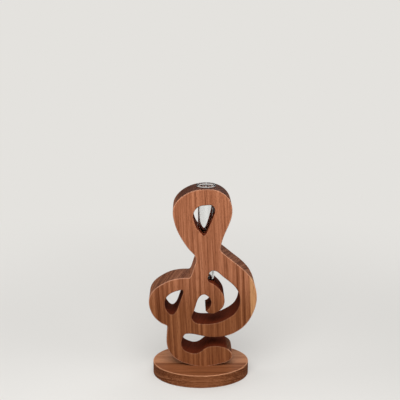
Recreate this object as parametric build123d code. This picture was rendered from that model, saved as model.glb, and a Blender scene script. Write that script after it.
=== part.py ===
from build123d import *
import os

# Test tube vase: a clef-shaped board on a round base, with a glass tube in a bore from its top.
# Millimetres. The origin is the centre of the base's underside, X to the right, Y to the back, Z up.

# Base disc
base_diameter = 95.0
base_thickness = 12.5
base_edge_radius = 0.8

# Clef board, sawn from one thick plank
clef_width = 105.5
clef_height = 176.7
clef_thickness = 38.0
clef_edge_radius = 0.8

# Glass tube, hung by its lip in a bore from the top of the clef
tube_diameter = 16.0
tube_length = 100.0
tube_wall = 1.1
tube_offset = 5.2
lip_overhang = 1.75
lip_height = 2.2
mouth_radius = 1.0
bore_clearance = 0.2
bore_end_gap = 1.0
lip_gap = 0.1

# Countersunk screws, from the base's underside into the sole of the clef
screw_diameter = 4.0
screw_length = 20.0
screw_offset = 1.5
screw_spacing = 20.0
screw_recess = 1.0
screw_clearance = 0.1
head_diameter = 8.0
head_rim = 0.4
head_cone_height = 2.2
tip_length = 3.5
thread_pitch = 1.5
thread_depth = 0.55
thread_length = 12.0
drive_length = 4.4
drive_width = 1.0
drive_depth = 1.3

# How far cutters run past the faces that they cut
cut_overrun = 1.0

# Outline of the clef, as shares of its width from the base's middle and of its height from the base's top
neck_shares = [
    (-0.116, 0.506), (-0.100, 0.510), (-0.091, 0.519), (-0.078, 0.540), (-0.060, 0.574), (-0.046, 0.600),
    (-0.049, 0.621), (-0.099, 0.659),
]
loop_shares = [
    (-0.155, 0.704), (-0.211, 0.763), (-0.249, 0.832), (-0.253, 0.896), (-0.203, 0.946), (-0.123, 0.980),
    (-0.036, 0.998), (0.047, 1.002), (0.129, 0.998), (0.205, 0.978), (0.260, 0.943), (0.286, 0.895),
    (0.280, 0.846), (0.241, 0.783), (0.203, 0.728), (0.183, 0.687),
]
bowl_shares = [
    (0.178, 0.667), (0.191, 0.653), (0.226, 0.635), (0.269, 0.614), (0.365, 0.568), (0.455, 0.512),
    (0.505, 0.447), (0.516, 0.377), (0.485, 0.305), (0.417, 0.238), (0.318, 0.192), (0.190, 0.168),
    (0.052, 0.169), (-0.043, 0.181),
]
slot_shares = [
    (-0.121, 0.186), (-0.149, 0.182), (-0.163, 0.170), (-0.178, 0.149), (-0.182, 0.124), (-0.163, 0.096),
    (-0.112, 0.078), (-0.063, 0.071), (-0.015, 0.078), (0.038, 0.101),
]
toe_shares = [
    (0.095, 0.113), (0.161, 0.114), (0.229, 0.104), (0.274, 0.086), (0.293, 0.063), (0.281, 0.039),
    (0.238, 0.021), (0.170, 0.009),
]
heel_shares = [
    (0.076, -0.002), (-0.038, -0.002), (-0.136, 0.012), (-0.214, 0.033), (-0.277, 0.066), (-0.312, 0.108),
]
stem_shares = [
    (-0.321, 0.149), (-0.318, 0.187), (-0.312, 0.213), (-0.311, 0.225), (-0.318, 0.233),
]
hump_shares = [
    (-0.337, 0.239), (-0.387, 0.256), (-0.442, 0.291), (-0.476, 0.338), (-0.480, 0.387), (-0.445, 0.432),
    (-0.373, 0.467), (-0.280, 0.494), (-0.199, 0.504), (-0.142, 0.506),
]

# Openings sawn through the board, in the same shares
window_shares = [
    (-0.070, 0.843), (-0.059, 0.880), (-0.014, 0.906), (0.045, 0.912), (0.099, 0.911), (0.127, 0.891),
    (0.119, 0.857), (0.089, 0.811), (0.055, 0.763), (0.029, 0.745), (0.000, 0.758), (-0.044, 0.793),
]
teardrop_shares = [
    (-0.182, 0.437), (-0.241, 0.428), (-0.300, 0.408), (-0.332, 0.380), (-0.334, 0.346), (-0.309, 0.313),
    (-0.267, 0.297), (-0.237, 0.310), (-0.207, 0.349), (-0.182, 0.391), (-0.167, 0.420), (-0.169, 0.434),
]
spiral_outer_shares = [
    (0.063, 0.502), (0.070, 0.521), (0.089, 0.541), (0.116, 0.546), (0.193, 0.518), (0.288, 0.471),
    (0.344, 0.427), (0.361, 0.388), (0.352, 0.342), (0.318, 0.305), (0.242, 0.272), (0.138, 0.247),
    (0.040, 0.242), (-0.055, 0.253), (-0.085, 0.276), (-0.069, 0.312), (-0.042, 0.361), (-0.011, 0.399),
    (0.024, 0.411), (0.069, 0.398), (0.094, 0.370), (0.079, 0.335),
]
spiral_inner_shares = [
    (0.043, 0.319), (0.093, 0.301), (0.165, 0.315), (0.211, 0.348), (0.218, 0.386), (0.193, 0.424),
    (0.144, 0.458), (0.097, 0.477), (0.071, 0.486),
]

outline_shares = neck_shares + loop_shares + bowl_shares + slot_shares + toe_shares + heel_shares
outline_shares += stem_shares + hump_shares

# Into how many spans each sawn curve is cut
outline_span_count = 12
window_span_count = 4
teardrop_span_count = 4
spiral_outer_span_count = 6
spiral_inner_span_count = 3

# Sizes and heights that follow from those above
clef_top = base_thickness + clef_height
tube_radius = tube_diameter / 2
lip_radius = tube_radius + lip_overhang
lip_bottom = clef_top + lip_gap
tube_top = lip_bottom + lip_height
tube_bottom = tube_top - tube_length
screw_tip = screw_recess + screw_length
screw_hole_radius = screw_diameter / 2 + screw_clearance
screw_places = [(screw_offset, side * screw_spacing / 2) for side in (-1, 1)]

# Solids that stand on their place rather than around it
upward = (Align.CENTER, Align.CENTER, Align.MIN)


def clef_points(shares):
    return [(x * clef_width, 0, base_thickness + z * clef_height) for x, z in shares]


def spans(curve, count):
    # A long curve is cut into spans, so that each sawn face stays simple.
    return [curve.trim(step / count, (step + 1) / count) for step in range(count)]


def closed_curve(shares, count):
    return Wire(spans(Spline(*clef_points(shares), periodic=True), count))


def spiral_opening():
    # Two curves that meet at the tip of the inner hook and at the upper end.
    outer = clef_points(spiral_outer_shares)
    inner = clef_points(spiral_inner_shares)
    outer_curve = Spline(*outer, inner[0])
    inner_curve = Spline(*inner, outer[0])
    return Wire(spans(outer_curve, spiral_outer_span_count) + spans(inner_curve, spiral_inner_span_count))


def clef_body():
    half = clef_thickness / 2
    outline = closed_curve(outline_shares, outline_span_count)
    window = closed_curve(window_shares, window_span_count)
    teardrop = closed_curve(teardrop_shares, teardrop_span_count)
    profile = Face(outline, [window, teardrop, spiral_opening()])
    board = extrude(profile, half, dir=(0, 1, 0), both=True)
    front = board.edges().filter_by_position(Axis.Y, -half, -half)
    back = board.edges().filter_by_position(Axis.Y, half, half)
    board = fillet(front + back, clef_edge_radius)
    board = flat_between(board, base_thickness, clef_top)
    bore_bottom = tube_bottom - bore_end_gap
    board -= upright_hole(tube_offset, 0, tube_radius + bore_clearance, bore_bottom, clef_top + cut_overrun)
    for x, y in screw_places:
        board -= upright_hole(x, y, screw_hole_radius, base_thickness - cut_overrun, screw_tip)
    return board


def flat_between(board, sole, seat):
    # The foot and the crown are planed flat where the base and the tube's lip touch them.
    return board & Pos(0, 0, sole) * Box(2 * clef_width, 2 * clef_thickness, seat - sole, align=upward)


def upright_hole(x, y, radius, bottom, top):
    return Pos(x, y, bottom) * Cylinder(radius, top - bottom, align=upward)


def base_disc():
    disc = Cylinder(base_diameter / 2, base_thickness, align=upward)
    disc = fillet(disc.edges().filter_by(GeomType.CIRCLE), base_edge_radius)
    head_radius = head_diameter / 2 + screw_clearance
    cone_bottom = screw_recess + head_rim
    countersink = Cone(head_radius, screw_hole_radius, head_cone_height, align=upward)
    for x, y in screw_places:
        disc -= upright_hole(x, y, screw_hole_radius, -cut_overrun, base_thickness + cut_overrun)
        disc -= upright_hole(x, y, head_radius, -cut_overrun, cone_bottom)
        disc -= Pos(x, y, cone_bottom) * countersink
    return disc


def test_tube():
    # Half section in the XZ plane, from the middle of the round bottom up the outside and down the inside.
    inner_radius = tube_radius - tube_wall
    round_height = tube_bottom + tube_radius
    bead_radius = lip_height / 2
    bead_middle = lip_radius - bead_radius
    sin45 = 2 ** -0.5
    section = Wire([
        ThreePointArc(
            (0, 0, tube_bottom),
            (tube_radius * sin45, 0, round_height - tube_radius * sin45),
            (tube_radius, 0, round_height),
        ),
        Line((tube_radius, 0, round_height), (tube_radius, 0, lip_bottom)),
        Line((tube_radius, 0, lip_bottom), (bead_middle, 0, lip_bottom)),
        ThreePointArc(
            (bead_middle, 0, lip_bottom),
            (lip_radius, 0, lip_bottom + bead_radius),
            (bead_middle, 0, tube_top),
        ),
        Line((bead_middle, 0, tube_top), (inner_radius + mouth_radius, 0, tube_top)),
        ThreePointArc(
            (inner_radius + mouth_radius, 0, tube_top),
            (inner_radius + mouth_radius * (1 - sin45), 0, tube_top - mouth_radius * (1 - sin45)),
            (inner_radius, 0, tube_top - mouth_radius),
        ),
        Line((inner_radius, 0, tube_top - mouth_radius), (inner_radius, 0, round_height)),
        ThreePointArc(
            (inner_radius, 0, round_height),
            (inner_radius * sin45, 0, round_height - inner_radius * sin45),
            (0, 0, tube_bottom + tube_wall),
        ),
        Line((0, 0, tube_bottom + tube_wall), (0, 0, tube_bottom)),
    ])
    return Pos(tube_offset, 0, 0) * revolve(Face(section), Axis.Z)


def wood_screw():
    # Head down, point up, with ridges for the thread.
    crest = screw_diameter / 2
    root = crest - thread_depth
    cone_bottom = screw_recess + head_rim
    tip_bottom = screw_tip - tip_length
    ridges = int((thread_length - tip_length) / thread_pitch)
    thread_bottom = tip_bottom - ridges * thread_pitch
    outline = [
        (0, 0, screw_recess),
        (head_diameter / 2, 0, screw_recess),
        (head_diameter / 2, 0, cone_bottom),
        (root, 0, cone_bottom + head_cone_height),
    ]
    for ridge in range(ridges):
        ridge_bottom = thread_bottom + ridge * thread_pitch
        outline += [(root, 0, ridge_bottom), (crest, 0, ridge_bottom + thread_pitch / 2)]
    outline += [(root, 0, tip_bottom), (0, 0, screw_tip)]
    screw = revolve(Face(Wire(Polyline(*outline, close=True).edges())), Axis.Z)
    drive = Box(drive_length, drive_width, drive_depth + cut_overrun, align=upward)
    drive += Box(drive_width, drive_length, drive_depth + cut_overrun, align=upward)
    return screw - Pos(0, 0, screw_recess - cut_overrun) * drive


def foot_screws():
    return Compound([Pos(x, y, 0) * wood_screw() for x, y in screw_places])


os.makedirs("parts", exist_ok=True)
for piece in (clef_body, base_disc, test_tube, foot_screws):
    export_step(piece(), f"parts/{piece.__name__}.step")
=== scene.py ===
import bpy
import math
import numpy as np
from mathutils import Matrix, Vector


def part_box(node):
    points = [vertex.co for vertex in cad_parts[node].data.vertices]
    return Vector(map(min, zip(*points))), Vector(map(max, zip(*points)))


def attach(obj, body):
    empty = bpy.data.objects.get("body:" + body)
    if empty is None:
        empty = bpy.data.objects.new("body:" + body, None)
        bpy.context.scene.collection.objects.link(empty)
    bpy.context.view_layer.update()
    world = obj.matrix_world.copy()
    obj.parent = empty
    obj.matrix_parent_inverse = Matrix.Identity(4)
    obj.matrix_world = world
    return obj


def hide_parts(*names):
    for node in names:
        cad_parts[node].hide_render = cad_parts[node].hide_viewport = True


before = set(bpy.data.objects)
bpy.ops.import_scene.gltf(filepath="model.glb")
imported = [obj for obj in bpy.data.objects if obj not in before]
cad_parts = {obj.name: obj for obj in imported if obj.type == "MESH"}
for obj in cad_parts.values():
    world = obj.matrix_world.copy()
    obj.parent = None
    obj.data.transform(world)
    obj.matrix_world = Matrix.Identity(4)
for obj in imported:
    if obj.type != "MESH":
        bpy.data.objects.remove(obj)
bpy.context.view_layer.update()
print("frame loaded:", sorted(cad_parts))


# One socket of a shader tree. Arithmetic on it adds Math nodes, node() adds any other node.
class Sock:
    def __init__(self, tree, out):
        self.tree = tree
        self.out = out

    def put(self, socket, value):
        if isinstance(value, Sock):
            self.tree.links.new(value.out, socket)
        else:
            socket.default_value = value

    def node(self, kind, settings=None, inputs=None, output=0):
        made = self.tree.nodes.new(kind)
        for name, value in (settings or {}).items():
            if name == "stops":
                self.fillRamp(made.color_ramp, value)
            else:
                setattr(made, name, value)
        for key, value in (inputs or {}).items():
            self.put(made.inputs[key], value)
        return Sock(self.tree, made.outputs[output])

    # a new ramp has two stops already
    def fillRamp(self, ramp, stops):
        while len(ramp.elements) < len(stops):
            ramp.elements.new(0.5)
        for element, (place, colour) in zip(ramp.elements, stops):
            element.position = place
            element.color = colour

    def maths(self, operation, *values):
        return self.node("ShaderNodeMath", {"operation": operation}, dict(enumerate(values)))

    def __add__(self, other):
        return self.maths("ADD", self, other)

    def __radd__(self, other):
        return self.maths("ADD", other, self)

    def __sub__(self, other):
        return self.maths("SUBTRACT", self, other)

    def __rsub__(self, other):
        return self.maths("SUBTRACT", other, self)

    def __mul__(self, other):
        return self.maths("MULTIPLY", self, other)

    def __rmul__(self, other):
        return self.maths("MULTIPLY", other, self)

    def __truediv__(self, other):
        return self.maths("DIVIDE", self, other)

    def __pow__(self, other):
        return self.maths("POWER", self, other)

    def __abs__(self):
        return self.maths("ABSOLUTE", self)

    def larger(self, other):
        return self.maths("MAXIMUM", self, other)

    def smaller(self, other):
        return self.maths("MINIMUM", self, other)

    # 0 below low, 1 above high, smooth in between; low may be the larger of the two
    def between(self, low, high):
        if low > high:
            return 1 - self.between(high, low)
        settings = {"interpolation_type": "SMOOTHSTEP"}
        return self.node("ShaderNodeMapRange", settings, {"Value": self, "From Min": low, "From Max": high})

    # noise along a line (one number) or in space (three numbers), about 0 to 1
    def noise(self, detail, rough):
        settings = {"noise_dimensions": "1D"}
        inputs = {"W": self, "Scale": 1.0, "Detail": detail, "Roughness": rough}
        return self.node("ShaderNodeTexNoise", settings, inputs)

    def spaceNoise(self, y, z, detail=2.0, rough=0.5):
        place = self.node("ShaderNodeCombineXYZ", None, {0: self, 1: y, 2: z})
        settings = {"noise_dimensions": "3D"}
        inputs = {"Vector": place, "Scale": 1.0, "Detail": detail, "Roughness": rough}
        return self.node("ShaderNodeTexNoise", settings, inputs)

    # this value is the share of the second colour
    def mix(self, first, second, blend="MIX"):
        settings = {"data_type": "RGBA", "blend_type": blend}
        return self.node("ShaderNodeMix", settings, {0: self, 6: first, 7: second}, 2)


# One channel of a colour as it looks on screen, 0 to 255, as the linear value that shaders take
def linear(channel):
    share = channel / 255
    return share / 12.92 if share < 0.04045 else ((share + 0.055) / 1.055) ** 2.4


def rgb(red, green, blue):
    return (linear(red), linear(green), linear(blue), 1.0)


# A material with its shader, the point on the piece in millimetres and the way its surface faces,
# the last two each as x, y and z.
def newMaterial(name):
    material = bpy.data.materials.new(name)
    material.use_nodes = True
    tree = material.node_tree
    tree.nodes.clear()
    shader = tree.nodes.new("ShaderNodeBsdfPrincipled")
    output = tree.nodes.new("ShaderNodeOutputMaterial")
    tree.links.new(shader.outputs[0], output.inputs["Surface"])
    start = Sock(tree, None)
    place = start.node("ShaderNodeTexCoord", None, None, "Object")
    scaled = start.node("ShaderNodeVectorMath", {"operation": "SCALE"}, {0: place, "Scale": 1000.0})
    split = [start.node("ShaderNodeSeparateXYZ", None, {0: scaled}, axis) for axis in range(3)]
    normal = start.node("ShaderNodeTexCoord", None, None, "Normal")
    facing = [start.node("ShaderNodeSeparateXYZ", None, {0: normal}, axis) for axis in range(3)]
    return material, shader, start, split, facing


# Slow noise in space, with its own scale per millimetre along each axis
def wander(x, y, z, scales, detail=1.0, rough=0.5):
    return (x * scales[0]).spaceNoise(y * scales[1], z * scales[2], detail, rough)


# What both woods have in common
grainLook = {
    "sway": (0.03, 0.012),       # per mm beside and along the fibres, how soon the layers wander
    "layerSway": 1.6,            # and how far, in layers
    "fineSway": 4.0,             # in fine lines
    "layers": (1.0, 0.5),        # detail and roughness of their noise
    "fine": (2.0, 0.6),
    "streaks": (0.9, 3.0, 0.6),  # scale per mm across the fibres, detail and roughness
    "fibres": (2.4, 2.0, 0.6),
    "pores": (2.8, 1.0, 0.5),
    "layerSpan": (0.28, 0.72),   # stretch of the noise that goes from 0 to 1
    "fineSpan": (0.30, 0.70),
    "streakSpan": (0.32, 0.68),
    "poreSpan": (0.41, 0.31),
    "layerTone": 0.18,           # how much each one changes the tone
    "streakTone": 0.22,
    "fineTone": 0.14,
    "endTone": 0.30,             # more of all three on end grain
    "dashStreaks": (0.20, 0.02),  # dark dashes lie in the darkest streaks
    "dashFine": (0.60, 0.30),    # and fine lines
    "markDepth": 0.5,            # how dark dashes and pores get
    "relief": (0.5, -0.9, 0.25),   # fibres, pores and fine lines in the bump
    "reliefHeight": 0.0006,        # m
    "roughness": (0.16, 0.2, 0.1),  # fibres, pores and end grain in the roughness
    "edgePolish": 0.1,           # how much smoother the eased edges are
    "gloss": 0.1,                # specular level of the oil
    "toneStops": (0.12, 0.50, 0.88),
    "stripeCore": 0.25,          # share of a stripe's half width at full strength
    "endFacing": (0.20, 0.85),   # how far a surface faces along the fibres, from side to end grain
    "edgeFacing": (0.10, 0.35),  # how far an eased edge has left the side
    "flatFacing": (0.9995, 0.975),  # and the flat face
}

clefWood = {
    "tones": (rgb(116, 63, 37), rgb(158, 97, 66), rgb(192, 127, 92)),
    "sapTones": (rgb(160, 103, 62), rgb(196, 142, 95), rgb(216, 168, 122)),
    "line": rgb(90, 45, 23),
    # edge colour: sanded wear, and painted highlight of eased edges catching the light
    "edgeWearAndHighlight": rgb(221, 164, 133),
    "endShade": (0.57, 0.58, 0.60, 1.0),
    "sawnWallPaintedShade": (0.50, 0.23, 0.13, 1.0),   # painted shade on the walls of the sawn-out openings, where little light reaches
    "sawnRoughness": 0.35,                  # more than on the faces
    "footPaintedShade": (0.67, 0.62, 0.48, 1.0),   # painted shade: darker and browner towards the foot, where less light falls
    "footFrom": (110.0, 63.0),              # mm, the heights between which that change lies
    "crownPaintedShadow": (0.42, 0.34, 0.31, 1.0),  # painted shadow on the end grain round the tube's mouth, as cast by flowers standing above it
    "crownFrom": (140.0, 172.0),            # mm, heights
    "tilt": -0.2,            # how far the layers lean from front to back
    "lean": 0.045,           # and from top to bottom
    "leanFrom": 80.0,        # mm, the height at which the places below hold on the front face
    "frontFace": -19.0,      # mm
    "drift": (0.05, 0.02, 0.012),
    "driftSize": 2.0,        # mm
    "middleTone": 0.5,
    "bands": (               # place, half width and strength of the stripes on the front face, mm
        (-51.5, 3.6, 0.22), (-46.2, 2.4, 0.10), (-41.6, 3.0, -0.30), (-36.8, 2.2, -0.16),
        (-32.4, 1.5, -0.16), (-30.0, 1.6, 0.14), (-27.6, 1.2, -0.12), (-23.8, 2.8, 0.26),
        (-20.2, 1.5, -0.18), (-16.3, 2.0, -0.08), (-12.6, 1.9, 0.16), (-10.1, 1.2, -0.10),
        (-8.4, 1.2, 0.08), (-5.4, 1.6, -0.18), (-3.3, 1.6, 0.24), (-0.8, 1.3, -0.14),
        (2.2, 2.4, 0.20), (8.5, 3.4, -0.06), (15.3, 1.8, -0.17), (20.9, 2.4, 0.18),
        (25.2, 1.8, -0.12), (28.2, 1.3, 0.16), (30.4, 1.3, 0.14), (36.4, 2.6, -0.24),
        (39.2, 1.4, 0.20), (41.6, 1.7, -0.22), (44.8, 2.2, 0.20),
    ),
    "breaks": (0.25, 0.05, 0.03),  # stripes fade and return along their length
    "breakSpan": (0.25, 0.55),
    "leastStrength": 0.6,
    "faintFrom": (105.0, 140.0),   # mm, heights between which the stripes grow fainter
    "faintness": 0.45,
    "sapFrom": (47.6, 48.8),       # mm, edge of the paler sapwood on the right
    "openings": (                  # ovals round the openings: centre x, z and half size x, z, mm
        (2.5, 161.0, 14.0, 21.0), (-25.5, 78.0, 14.0, 17.0), (13.5, 81.0, 28.0, 31.5),
        (-2.0, 66.0, 16.0, 18.5), (0.0, 36.0, 28.0, 20.0),
    ),
    "ovalEdge": (1.1, 0.8),
    "wallFacing": (0.6, 0.2),      # how little a wall faces the front or the back
    "wearAndHighlight": 0.40,                  # share of the edge colour on the outer edges: sanded wear and painted highlight
    "lowEdgeHighlight": 0.30,               # painted highlight: more of it on the lower edges, for light thrown up from below
    "lowFacing": (-0.1, -0.7),
    "innerWearAndHighlight": 0.06,             # on the edges of the openings: little, as they lie in shade
    "layerWidth": 1.6,       # mm, growth layers
    "fineWidth": 0.6,        # mm
    "streakLength": 42.0,    # mm
    "poreLength": 5.0,       # mm
    "roughness": 0.56,
    "bump": 0.12,
}

baseWood = {
    "tones": (rgb(112, 62, 33), rgb(152, 93, 58), rgb(196, 138, 100)),
    "line": rgb(92, 47, 24),
    # edge colour: sanded wear, and painted highlight of eased edges catching the light
    "edgeWearAndHighlight": rgb(214, 154, 116),
    "endShade": (0.80, 0.72, 0.66, 1.0),
    "tilt": 0.13,                # how fast the layers climb to the back
    "drift": (0.012, 0.03, 0.05),
    "driftSize": 0.8,            # mm
    "middleTone": 0.34,
    "upperFrom": (10.95, 11.25),  # mm across the layers, where the light upper layer begins
    "upperTone": 0.40,
    "lowerFrom": (5.3, 4.5),     # and the lower one
    "lowerTone": 0.03,
    "bands": ((5.4, 0.9, -0.16),),  # one dark stripe above the lower layer
    # share of the edge colour: sanded wear and painted highlight
    "wearAndHighlight": 0.6,
    "layerWidth": 1.3,
    "fineWidth": 0.5,
    "streakLength": 60.0,
    "poreLength": 6.0,
    "roughness": 0.56,
    "bump": 0.10,
}


# 1 on sawn end grain, where the surface faces along the fibres
def endGrain(facing):
    return abs(facing).between(*grainLook["endFacing"])


# 1 on the eased edges between a flat face and its sides; facing is taken along the flat face's normal
def easedEdge(facing):
    return abs(facing).between(*grainLook["edgeFacing"]) * abs(facing).between(*grainLook["flatFacing"])


# A ramp through three tones, dark, middle and light
def toned(shade, tones):
    return shade.node("ShaderNodeValToRGB", {"stops": list(zip(grainLook["toneStops"], tones))}, {0: shade})


# Noise drawn out along the fibres
def drawnOut(across, beside, along, length, look):
    scale, detail, rough = look
    return (across * scale).spaceNoise(beside * scale, along / length, detail, rough)


# Shared by both woods. across, beside and along are millimetres in the wood's own axes,
# tone is 0 dark to 1 light. Layers and fine lines run across the growth rings,
# streaks and pores are drawn out along the fibres.
def grain(wood, across, beside, along, tone, end):
    look = grainLook
    swayBeside, swayAlong = look["sway"]
    sway = across.spaceNoise(beside * swayBeside, along * swayAlong) - 0.5
    layers = (across / wood["layerWidth"] + sway * look["layerSway"]).noise(*look["layers"])
    layers = layers.between(*look["layerSpan"])
    fine = (across / wood["fineWidth"] + sway * look["fineSway"]).noise(*look["fine"])
    fine = fine.between(*look["fineSpan"])
    streaks = drawnOut(across, beside, along, wood["streakLength"], look["streaks"])
    streaks = streaks.between(*look["streakSpan"])
    fibres = drawnOut(across, beside, along, wood["streakLength"], look["fibres"])
    pores = drawnOut(across, beside, along, wood["poreLength"], look["pores"])
    ticks = pores.between(*look["poreSpan"]) * look["markDepth"]
    more = end * look["endTone"]
    shade = tone + (layers - 0.5) * (look["layerTone"] + more)
    shade = shade + (streaks - 0.5) * (look["streakTone"] + more)
    shade = shade + (fine - 0.5) * (look["fineTone"] + more)
    dashes = streaks.between(*look["dashStreaks"]) * fine.between(*look["dashFine"]) * look["markDepth"]
    fibreRelief, poreRelief, fineRelief = look["relief"]
    relief = fibres * fibreRelief + ticks * poreRelief + fine * fineRelief
    fibreRough, poreRough, endRough = look["roughness"]
    rough = wood["roughness"] + (fibres - 0.5) * fibreRough + ticks * poreRough + end * endRough
    return shade, dashes.larger(ticks), relief, rough


def finishWood(wood, shader, start, colour, relief, rough):
    inputs = {"Strength": wood["bump"], "Distance": grainLook["reliefHeight"], "Height": relief}
    start.put(shader.inputs["Base Color"], colour)
    start.put(shader.inputs["Roughness"], rough)
    start.put(shader.inputs["Normal"], start.node("ShaderNodeBump", None, inputs))
    shader.inputs["Specular IOR Level"].default_value = grainLook["gloss"]


# Soft-edged stripes at the given places, each of its own half width and strength, added up
def stripes(across, bands):
    core = grainLook["stripeCore"]
    return sum(abs(across - place).between(half, half * core) * strength for place, half, strength in bands)


# 1 in and round the sawn-out openings, which lie in ovals given by centre and half size
def nearOpenings(x, z, ovals, edge):
    inside = sum((((x - cx) / rx) ** 2 + ((z - cz) / rz) ** 2).between(*edge) for cx, cz, rx, rz in ovals)
    return inside.smaller(1.0)


def makeClefWood():
    wood = clefWood
    material, shader, start, (x, y, z), facing = newMaterial("oiledClefWood")
    drift = wander(x, y, z, wood["drift"]) - 0.5
    slant = (y - wood["frontFace"]) * wood["tilt"] + (z - wood["leanFrom"]) * wood["lean"]
    across = x + slant + drift * wood["driftSize"]
    least = wood["leastStrength"]
    broken = wander(across, y, z, wood["breaks"]).between(*wood["breakSpan"]) * (1 - least) + least
    strength = broken * (1 - z.between(*wood["faintFrom"]) * wood["faintness"])
    tone = wood["middleTone"] + stripes(across, wood["bands"]) * strength
    inner = nearOpenings(x, z, wood["openings"], wood["ovalEdge"])
    # the walls inside the openings, which get painted shade and more roughness
    sawnWallsShaded = inner * abs(facing[1]).between(*wood["wallFacing"])
    end = endGrain(facing[2]) * (1 - sawnWallsShaded)
    edge = easedEdge(facing[1])
    tone = tone * (1 - sawnWallsShaded) + sawnWallsShaded * wood["middleTone"]
    shade, dark, relief, rough = grain(wood, across, y, z, tone, end)
    # painted shade towards the foot
    colour = z.between(*wood["footFrom"]).mix(toned(shade, wood["tones"]), wood["footPaintedShade"], "MULTIPLY")
    colour = across.between(*wood["sapFrom"]).mix(colour, toned(shade, wood["sapTones"]))
    colour = dark.mix(colour, wood["line"])
    colour = end.mix(colour, wood["endShade"], "MULTIPLY")
    # painted shadow on the end grain at the top
    colour = (end * z.between(*wood["crownFrom"])).mix(colour, wood["crownPaintedShadow"], "MULTIPLY")
    # painted shade on the walls of the openings, darker and redder
    colour = sawnWallsShaded.mix(colour, wood["sawnWallPaintedShade"], "MULTIPLY")
    # Eased edges lighter: sanded wear and painted highlight, more on the lower edges, little round the
    # openings, which lie in shade
    edgeWearAndHighlight = wood["wearAndHighlight"] + facing[2].between(*wood["lowFacing"]) * wood["lowEdgeHighlight"]
    edgeWearAndHighlight = edgeWearAndHighlight + inner * (wood["innerWearAndHighlight"] - edgeWearAndHighlight)
    colour = (edge * edgeWearAndHighlight).mix(colour, wood["edgeWearAndHighlight"])
    rough = rough + sawnWallsShaded * wood["sawnRoughness"] - edge * grainLook["edgePolish"]
    finishWood(wood, shader, start, colour, relief, rough)
    return material


def makeBaseWood():
    wood = baseWood
    material, shader, start, (x, y, z), facing = newMaterial("oiledBaseWood")
    drift = wander(x, y, z, wood["drift"]) - 0.5
    across = z + y * wood["tilt"] + drift * wood["driftSize"]
    tone = wood["middleTone"] + across.between(*wood["upperFrom"]) * wood["upperTone"]
    tone = tone + across.between(*wood["lowerFrom"]) * wood["lowerTone"] + stripes(across, wood["bands"])
    end = endGrain(facing[0])
    edge = easedEdge(facing[2])
    shade, dark, relief, rough = grain(wood, across, y, x, tone, end)
    colour = dark.mix(toned(shade, wood["tones"]), wood["line"])
    colour = end.mix(colour, wood["endShade"], "MULTIPLY")
    # Eased edges lighter: sanded wear and painted highlight
    colour = (edge * wood["wearAndHighlight"]).mix(colour, wood["edgeWearAndHighlight"])
    finishWood(wood, shader, start, colour, relief, rough - edge * grainLook["edgePolish"])
    return material


glassTube = {
    "around": 160,           # faces round the tube
    "arcSteps": 24,          # faces along each round of the profile
    "wall": 1.1e-3,
    "lipHeight": 2.2e-3,
    "lipOverhang": 1.75e-3,
    "mouthRadius": 1.0e-3,
    "tint": rgb(253, 254, 254),
    "ior": 1.47,
    "haze": (0.3, 0.3, 0.08),  # smears, drawn out along the tube
    "hazeSpan": (0.5, 0.8),
    "smear": 0.03,           # roughness where they are thickest
}


# Points of an arc from one angle to another, in degrees, about a centre (r, z).
def arc(centre, radius, first, last, steps):
    angle = np.radians(np.linspace(first, last, steps + 1))
    return np.stack([centre[0] + radius * np.cos(angle), centre[1] + radius * np.sin(angle)], 1)


# A profile of (r, z) points, from one pole to the other, carried round an upright axis at (x, y):
# point (u, v) = axis + r(v) * (cos u, sin u) with height z(v). The poles are single points.
def lathe(name, profile, axis, around):
    turn = np.linspace(0, 2 * np.pi, around, endpoint=False)
    ring = profile[1:-1]
    x = axis[0] + ring[:, :1] * np.cos(turn)
    y = axis[1] + ring[:, :1] * np.sin(turn)
    z = np.repeat(ring[:, 1:], around, 1)
    body = np.stack([x, y, z], 2).reshape(-1, 3)
    poles = np.array([(*axis, profile[0, 1]), (*axis, profile[-1, 1])])
    points = np.concatenate([body, poles])
    rows = np.arange(len(ring) - 1)[:, None] * around
    column = np.arange(around)[None, :]
    after = (column + 1) % around
    quads = np.stack([rows + column, rows + after, rows + around + after, rows + around + column], 2)
    first, last = len(body), len(body) + 1
    top = (len(ring) - 1) * around
    startFan = np.stack([np.full(around, first), after[0], column[0]], 1)
    endFan = np.stack([np.full(around, last), top + column[0], top + after[0]], 1)
    mesh = bpy.data.meshes.new(name)
    faces = quads.reshape(-1, 4).tolist() + startFan.tolist() + endFan.tolist()
    mesh.from_pydata(points.tolist(), [], faces)
    mesh.shade_smooth()
    piece = bpy.data.objects.new(name, mesh)
    bpy.context.scene.collection.objects.link(piece)
    return piece


def makeGlass():
    glass = glassTube
    material, shader, start, (x, y, z), _ = newMaterial("clearGlass")
    haze = wander(x, y, z, glass["haze"], 3.0, 0.6)
    start.put(shader.inputs["Roughness"], haze.between(*glass["hazeSpan"]) * glass["smear"])
    shader.inputs["Base Color"].default_value = glass["tint"]
    shader.inputs["Transmission Weight"].default_value = 1.0
    shader.inputs["IOR"].default_value = glass["ior"]
    return material


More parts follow.
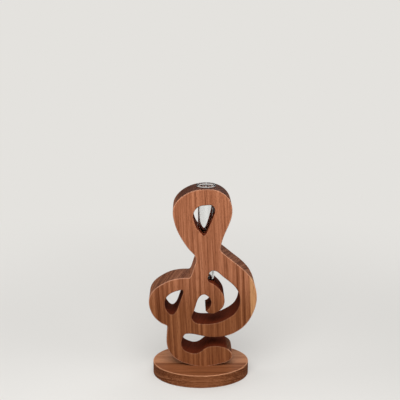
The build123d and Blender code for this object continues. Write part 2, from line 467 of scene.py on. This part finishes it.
# The tube hangs by its beaded lip. Its profile runs from the outside of the round bottom, up the wall,
# round the bead, over the mouth's rounded inner edge, down the bore and to the inside of the bottom.
def makeTube():
    tube = glassTube
    low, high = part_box("test_tube")
    axis = ((low.x + high.x) / 2, (low.y + high.y) / 2)
    outer = (high.x - low.x) / 2 - tube["lipOverhang"]
    inner = outer - tube["wall"]
    bead = tube["lipHeight"] / 2
    steps = tube["arcSteps"]
    roundTop = low.z + outer
    lipBottom = high.z - tube["lipHeight"]
    beadAt = outer + tube["lipOverhang"] - bead
    mouth = tube["mouthRadius"]
    profile = np.concatenate([
        arc((0, roundTop), outer, -90, 0, steps),
        np.stack([np.full(steps, outer), np.linspace(roundTop, lipBottom, steps + 1)[1:]], 1),
        arc((beadAt, lipBottom + bead), bead, -90, 90, steps),
        arc((inner + mouth, high.z - mouth), mouth, 90, 180, steps),
        np.stack([np.full(steps, inner), np.linspace(high.z - mouth, roundTop, steps + 1)[1:]], 1),
        arc((0, roundTop), inner, 0, -90, steps)[1:],
    ])
    piece = lathe("glassTestTube", profile, axis, tube["around"])
    piece.data.materials.append(makeGlass())
    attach(piece, "tube")
    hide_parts("test_tube")
    print("tube made:", len(piece.data.polygons), "faces")


screwSteel = {
    "bright": rgb(196, 196, 192),
    "dull": rgb(140, 141, 139),
    "cloud": (0.9, 0.9, 0.9),    # uneven plating
    "cloudSpan": (0.35, 0.65),
    "roughness": 0.32,
    "roughSpread": 0.2,
}


def makeSteel():
    steel = screwSteel
    material, shader, start, (x, y, z), _ = newMaterial("platedSteel")
    cloud = wander(x, y, z, steel["cloud"], 3.0)
    colour = cloud.between(*steel["cloudSpan"]).mix(steel["dull"], steel["bright"])
    start.put(shader.inputs["Base Color"], colour)
    start.put(shader.inputs["Roughness"], steel["roughness"] + (cloud - 0.5) * steel["roughSpread"])
    shader.inputs["Metallic"].default_value = 1.0
    return material


def dress(node, material):
    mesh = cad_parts[node].data
    mesh.materials.clear()
    mesh.materials.append(material)


dress("clef_body", makeClefWood())
dress("base_disc", makeBaseWood())
dress("foot_screws", makeSteel())
makeTube()
print("pieces dressed")


studio = {
    "paleTone": rgb(228, 226, 222),  # of the floor, and of what lies behind it
    "floorHalf": 30.0,               # m
    "floorRoughness": 0.9,
    "bounceColour": (0.22, 0.22, 0.22, 1.0),  # what the floor throws back at the object
    "fade": (130.0, 800.0),          # mm from the middle, where the floor runs out into plain pale ground
    "plainNear": 0.3,                # share of that plain ground close to the object
    "worldLight": 0.12,
    "worldGloss": 0.05,              # share of the pale tone in reflections
    "lampAim": (0.0, 0.0, 0.1),
}


def rayIs(start, kind):
    return start.node("ShaderNodeLightPath", None, None, "Is " + kind + " Ray")


# One flat square, whose own shade gives way to an even pale tone far from the object, so no horizon shows.
def makeFloor():
    corners = np.array([(-1, -1, 0), (1, -1, 0), (1, 1, 0), (-1, 1, 0)]) * studio["floorHalf"]
    mesh = bpy.data.meshes.new("floor")
    mesh.from_pydata(corners.tolist(), [], [(0, 1, 2, 3)])
    floor = bpy.data.objects.new("floor", mesh)
    bpy.context.scene.collection.objects.link(floor)
    material, shader, start, (x, y, _), _ = newMaterial("paleFloor")
    shader.inputs["Roughness"].default_value = studio["floorRoughness"]
    near = studio["plainNear"]
    far = near + ((x * x + y * y) ** 0.5).between(*studio["fade"]) * (1 - near)
    shown = rayIs(start, "Camera").larger(rayIs(start, "Transmission"))
    start.put(shader.inputs["Base Color"], shown.mix(studio["bounceColour"], studio["paleTone"]))
    plain = start.node("ShaderNodeEmission", None, {"Color": studio["paleTone"], "Strength": 1.0})
    lit = Sock(material.node_tree, shader.outputs[0])
    ground = start.node("ShaderNodeMixShader", None, {0: far * shown, 1: lit, 2: plain})
    start.put(material.node_tree.nodes["Material Output"].inputs["Surface"], ground)
    mesh.materials.append(material)


lamps = {  # place and size in metres; the rear pair gives no gloss, so the tops keep their colour
    "key": {"place": (-0.03, -0.425, 0.46), "size": 0.40, "power": 3.2, "gloss": True},
    "right": {"place": (0.85, -0.60, 0.40), "size": 0.60, "power": 2.4, "gloss": True},
    "left": {"place": (-0.75, 0.10, 0.55), "size": 0.60, "power": 1.6, "gloss": True},
    "back": {"place": (0.15, 0.62, 0.60), "size": 0.50, "power": 1.3, "gloss": True},
    "rearLeft": {"place": (-0.62, 0.65, 0.35), "size": 0.50, "power": 2.2, "gloss": False},
    "rearRight": {"place": (0.62, 0.65, 0.35), "size": 0.50, "power": 1.7, "gloss": False},
}


def makeLamps():
    aim = Vector(studio["lampAim"])
    for name, lamp in lamps.items():
        light = bpy.data.lights.new(name, "AREA")
        light.size = lamp["size"]
        light.energy = lamp["power"]
        holder = bpy.data.objects.new(name, light)
        holder.location = lamp["place"]
        holder.rotation_euler = (aim - Vector(lamp["place"])).to_track_quat("-Z", "Y").to_euler()
        holder.visible_camera = False
        holder.visible_transmission = False  # no lamp shows through the glass
        holder.visible_glossy = lamp["gloss"]
        bpy.context.scene.collection.objects.link(holder)


# Dim even light all round. The eye, what shows through the glass and a little of what shows in gloss
# meets the floor's pale tone instead.
def makeWorld():
    world = bpy.data.worlds.new("softRoom")
    world.use_nodes = True
    start = Sock(world.node_tree, None)
    dimInputs = {"Color": (1, 1, 1, 1), "Strength": studio["worldLight"]}
    dim = start.node("ShaderNodeBackground", None, dimInputs)
    pale = start.node("ShaderNodeBackground", None, {"Color": studio["paleTone"], "Strength": 1.0})
    gloss = rayIs(start, "Glossy") * studio["worldGloss"]
    shown = rayIs(start, "Camera").larger(rayIs(start, "Transmission").larger(gloss))
    mixed = start.node("ShaderNodeMixShader", None, {0: shown, 1: dim, 2: pale})
    start.put(world.node_tree.nodes["World Output"].inputs["Surface"], mixed)
    bpy.context.scene.world = world


photoView = {
    "turn": -0.738,          # degrees to the side of straight on
    "raise": 10.681,         # degrees above level
    "distance": 1.01194,
    "target": (-0.000698, 0.0, 0.175517),
    "focalPixels": 1036.44,
    "imagePixels": 400,
    "sensor": 36.0,
    "reach": 50.0,           # m, far enough for the floor
}


def makeCamera():
    view = photoView
    turn, rise = math.radians(view["turn"]), math.radians(view["raise"])
    back = Vector((math.sin(turn) * math.cos(rise), -math.cos(turn) * math.cos(rise), math.sin(rise)))
    camera = bpy.data.cameras.new("photoCamera")
    camera.sensor_width = view["sensor"]
    camera.lens = view["sensor"] * view["focalPixels"] / view["imagePixels"]
    camera.clip_end = view["reach"]
    holder = bpy.data.objects.new("photoCamera", camera)
    holder.location = Vector(view["target"]) + back * view["distance"]
    holder.rotation_euler = (-back).to_track_quat("-Z", "Y").to_euler()
    bpy.context.scene.collection.objects.link(holder)
    bpy.context.scene.camera = holder


makeFloor()
makeLamps()
makeWorld()
makeCamera()
bpy.context.scene.view_settings.view_transform = "Standard"
print("studio set")
